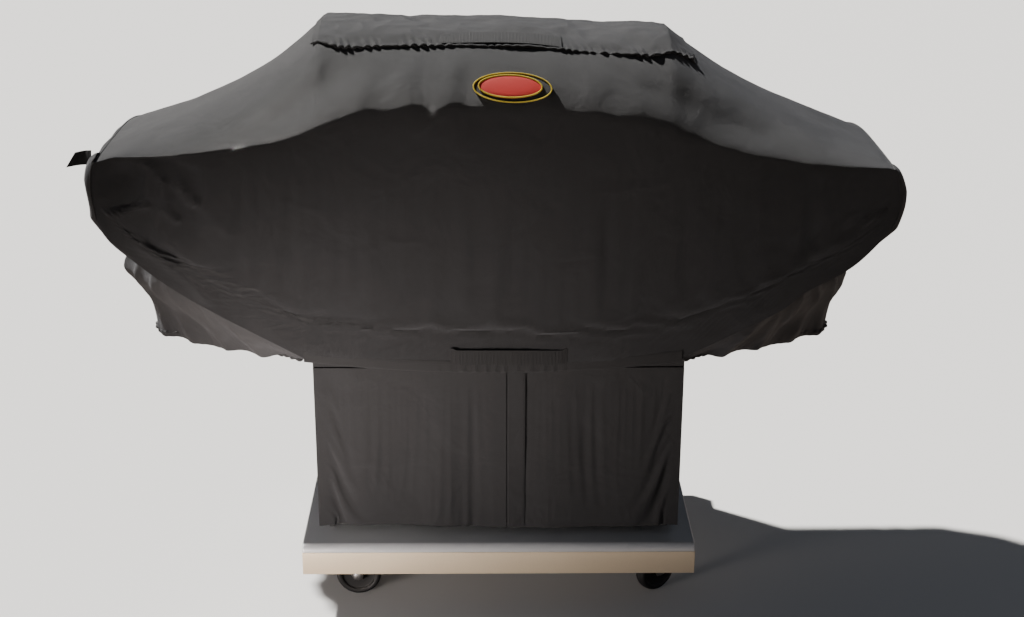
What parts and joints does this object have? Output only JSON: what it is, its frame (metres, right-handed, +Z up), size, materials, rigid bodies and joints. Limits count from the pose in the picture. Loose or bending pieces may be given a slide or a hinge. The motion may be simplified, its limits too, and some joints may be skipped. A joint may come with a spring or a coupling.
{
  "type": "covered grill cart",
  "caption": "Fabric cover with a lift-back hood, side wings and an opening skirt, fitted over a grill cart with side shelves on swivel casters.",
  "frame": {"origin": "on the ground below the middle of the object", "axes": "+Z up, +X to the right seen from the front, front towards -Y"},
  "size_m": [1.5539, 0.5745, 1.13],
  "materials": {
    "cover_fabric": "matt woven polyester",
    "webbing": "ribbed woven webbing",
    "elastic": "gathered fabric over elastic",
    "badge_red": "satin moulded patch",
    "badge_yellow": "satin moulded border",
    "base_metal": "satin silver paint",
    "fascia_metal": "satin tan paint",
    "cabinet_paint": "powder coat",
    "lid_enamel": "enamel",
    "steel": "brushed",
    "zinc": "zinc plated",
    "wheel_rubber": "moulded"
  },
  "bodies": {
    "cart": {"front_panel": "cover_fabric", "shoulder_left": "cover_fabric", "shoulder_right": "cover_fabric", "side_panel_left": "cover_fabric", "side_panel_right": "cover_fabric", "hem_elastic_left": "elastic", "hem_elastic_right": "elastic", "rear_panel": "cover_fabric", "hem_binding": "cover_fabric", "badge_border": "badge_yellow", "badge_face": "badge_red", "skirt_side_left": "cover_fabric", "skirt_side_right": "cover_fabric", "skirt_rear": "cover_fabric", "skirt_header": "cover_fabric", "base_deck": "base_metal", "front_fascia": "fascia_metal", "base_end_left": "base_metal", "base_end_right": "base_metal", "base_rear_rail": "base_metal", "cabinet_side_left": "cabinet_paint", "cabinet_side_right": "cabinet_paint", "cabinet_back": "cabinet_paint", "door_left": "cabinet_paint", "door_right": "cabinet_paint", "door_handle_left": "steel", "door_handle_right": "steel", "firebox": "lid_enamel", "control_panel": "steel", "lid": "lid_enamel", "lid_handle": "steel", "side_shelf_left": "cabinet_paint", "side_shelf_right": "cabinet_paint", "shelf_bracket_left": "steel", "shelf_bracket_right": "steel", "caster_fl_plate": "zinc", "caster_fr_plate": "zinc", "caster_rl_plate": "zinc", "caster_rr_plate": "zinc"},
    "hood": {"top_hood": "cover_fabric", "hood_elastic": "elastic"},
    "top_strap": {"top_pull_strap": "webbing"},
    "hem_strap": {"hem_pull_strap": "webbing"},
    "tab_left": {"tab_left": "webbing"},
    "tab_right": {"tab_right": "webbing"},
    "skirt_left": {"skirt_flap_left": "cover_fabric"},
    "skirt_right": {"skirt_flap_right": "cover_fabric", "skirt_placket": "cover_fabric"},
    "caster_fl": {"caster_fl_fork": "zinc", "caster_fl_axle": "zinc"},
    "wheel_fl": {"caster_fl_wheel": "wheel_rubber"},
    "caster_fr": {"caster_fr_fork": "zinc", "caster_fr_axle": "zinc"},
    "wheel_fr": {"caster_fr_wheel": "wheel_rubber"},
    "caster_rl": {"caster_rl_fork": "zinc", "caster_rl_axle": "zinc"},
    "wheel_rl": {"caster_rl_wheel": "wheel_rubber"},
    "caster_rr": {"caster_rr_fork": "zinc", "caster_rr_axle": "zinc"},
    "wheel_rr": {"caster_rr_wheel": "wheel_rubber"}
  },
  "joints": [
    {"name": "hood_lift", "type": "hinge", "parent": "cart", "child": "hood", "pos_m": [0, 0.16, 1.0679], "axis": [-1, 0, 0], "range_deg": [0, 110]},
    {"name": "top_strap_lift", "type": "slide", "parent": "hood", "child": "top_strap", "axis": [0, -0.3591, 0.9333], "range_m": [0, 0.03]},
    {"name": "hem_strap_lift", "type": "slide", "parent": "cart", "child": "hem_strap", "axis": [0, -1, 0], "range_m": [0, 0.03]},
    {"name": "skirt_left_open", "type": "hinge", "parent": "cart", "child": "skirt_left", "pos_m": [-0.35, -0.2415, 0.3], "axis": [0, 0, -1], "range_deg": [0, 100]},
    {"name": "skirt_right_open", "type": "hinge", "parent": "cart", "child": "skirt_right", "pos_m": [0.35, -0.2415, 0.3], "axis": [0, 0, 1], "range_deg": [0, 100]},
    {"name": "tab_left_flex", "type": "hinge", "parent": "cart", "child": "tab_left", "pos_m": [-0.739, -0.225, 0.897], "axis": [0, 1, 0], "range_deg": [-50, 60], "stiffness_Nm_per_rad": 0.02},
    {"name": "tab_right_flex", "type": "hinge", "parent": "cart", "child": "tab_right", "pos_m": [0.739, -0.1, 0.862], "axis": [0, -1, 0], "range_deg": [-18, 92], "stiffness_Nm_per_rad": 0.02},
    {"name": "caster_fl_swivel", "type": "hinge", "parent": "cart", "child": "caster_fl", "pos_m": [-0.3, -0.195, 0.1], "axis": [0, 0, 1], "continuous": true},
    {"name": "wheel_fl_spin", "type": "hinge", "parent": "caster_fl", "child": "wheel_fl", "pos_m": [-0.28, -0.195, 0.045], "axis": [0, 1, 0], "continuous": true},
    {"name": "caster_fr_swivel", "type": "hinge", "parent": "cart", "child": "caster_fr", "pos_m": [0.3, -0.195, 0.1], "axis": [0, 0, 1], "continuous": true},
    {"name": "wheel_fr_spin", "type": "hinge", "parent": "caster_fr", "child": "wheel_fr", "pos_m": [0.31618, -0.18324, 0.045], "axis": [-0.5878, 0.809, 0], "continuous": true},
    {"name": "caster_rl_swivel", "type": "hinge", "parent": "cart", "child": "caster_rl", "pos_m": [-0.3, 0.19, 0.1], "axis": [0, 0, 1], "continuous": true},
    {"name": "wheel_rl_spin", "type": "hinge", "parent": "caster_rl", "child": "wheel_rl", "pos_m": [-0.29316, 0.20879, 0.045], "axis": [-0.9397, 0.342, 0], "continuous": true},
    {"name": "caster_rr_swivel", "type": "hinge", "parent": "cart", "child": "caster_rr", "pos_m": [0.3, 0.19, 0.1], "axis": [0, 0, 1], "continuous": true},
    {"name": "wheel_rr_spin", "type": "hinge", "parent": "caster_rr", "child": "wheel_rr", "pos_m": [0.29155, 0.20813, 0.045], "axis": [-0.9063, -0.4226, 0], "continuous": true}
  ]
}
